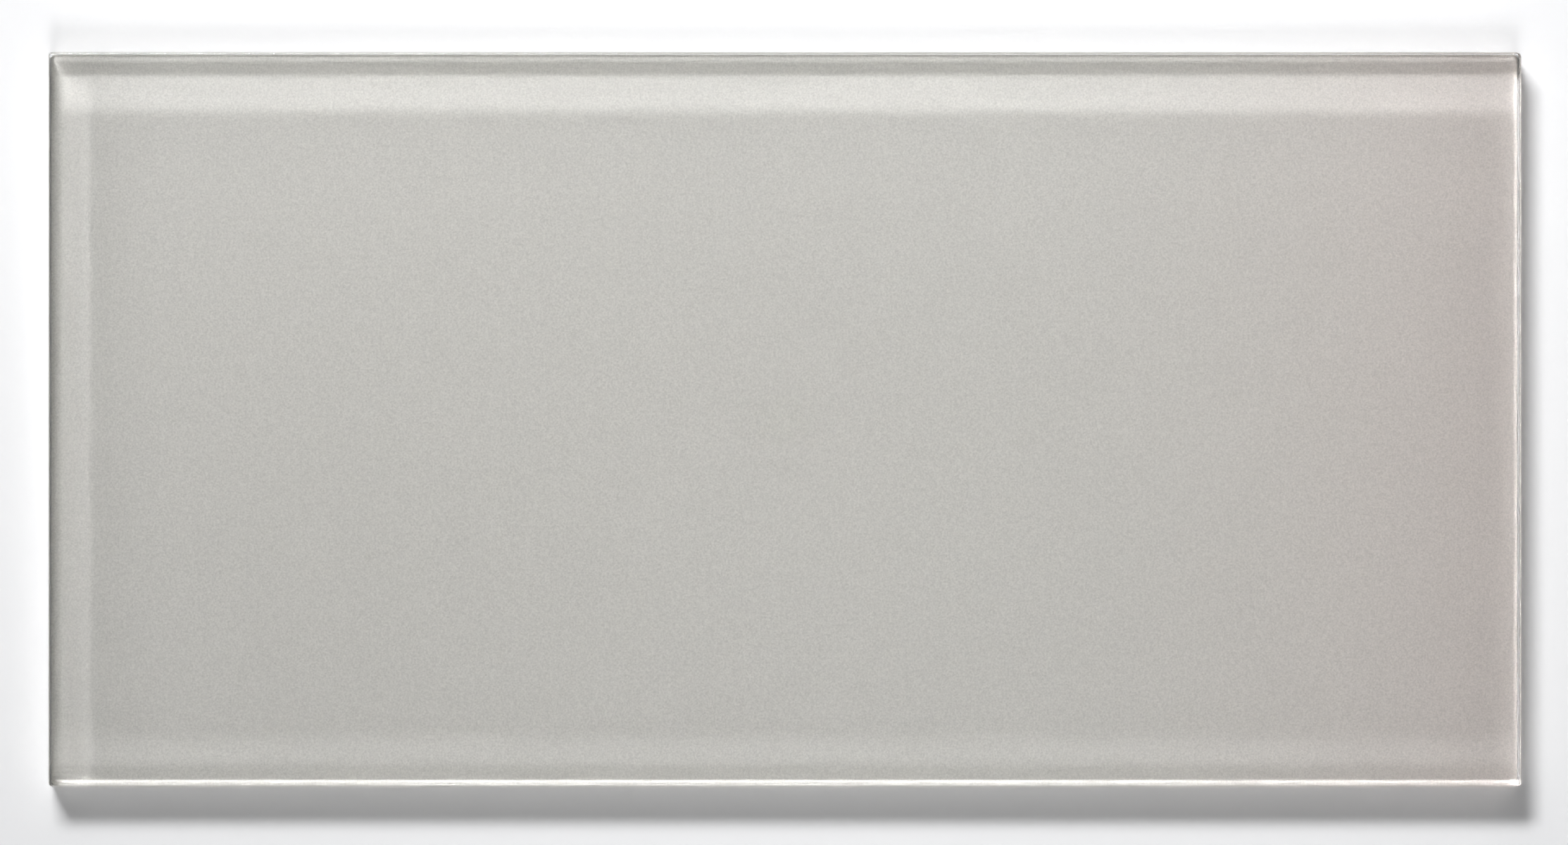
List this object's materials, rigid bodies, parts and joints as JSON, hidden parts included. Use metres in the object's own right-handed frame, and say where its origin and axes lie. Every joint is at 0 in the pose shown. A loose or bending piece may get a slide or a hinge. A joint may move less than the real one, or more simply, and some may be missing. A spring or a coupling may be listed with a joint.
{
  "type": "glass tile",
  "caption": "Flat rectangular wall tile of clear glass with bowed, rounded edges and an opaque warm grey enamel coat on its back, bonded to a wall by its back face.",
  "frame": {"origin": "middle of the tile's back face", "axes": "+X along the length, +Y along the width, +Z out of the front face"},
  "size_m": [0.3, 0.15, 0.008],
  "materials": {
    "clear_glass": "polished clear glass",
    "grey_enamel": "fired opaque enamel, warm light grey, matt on its back"
  },
  "bodies": {
    "root": {"glass_body": "clear_glass", "back_enamel": "grey_enamel"}
  },
  "joints": []
}
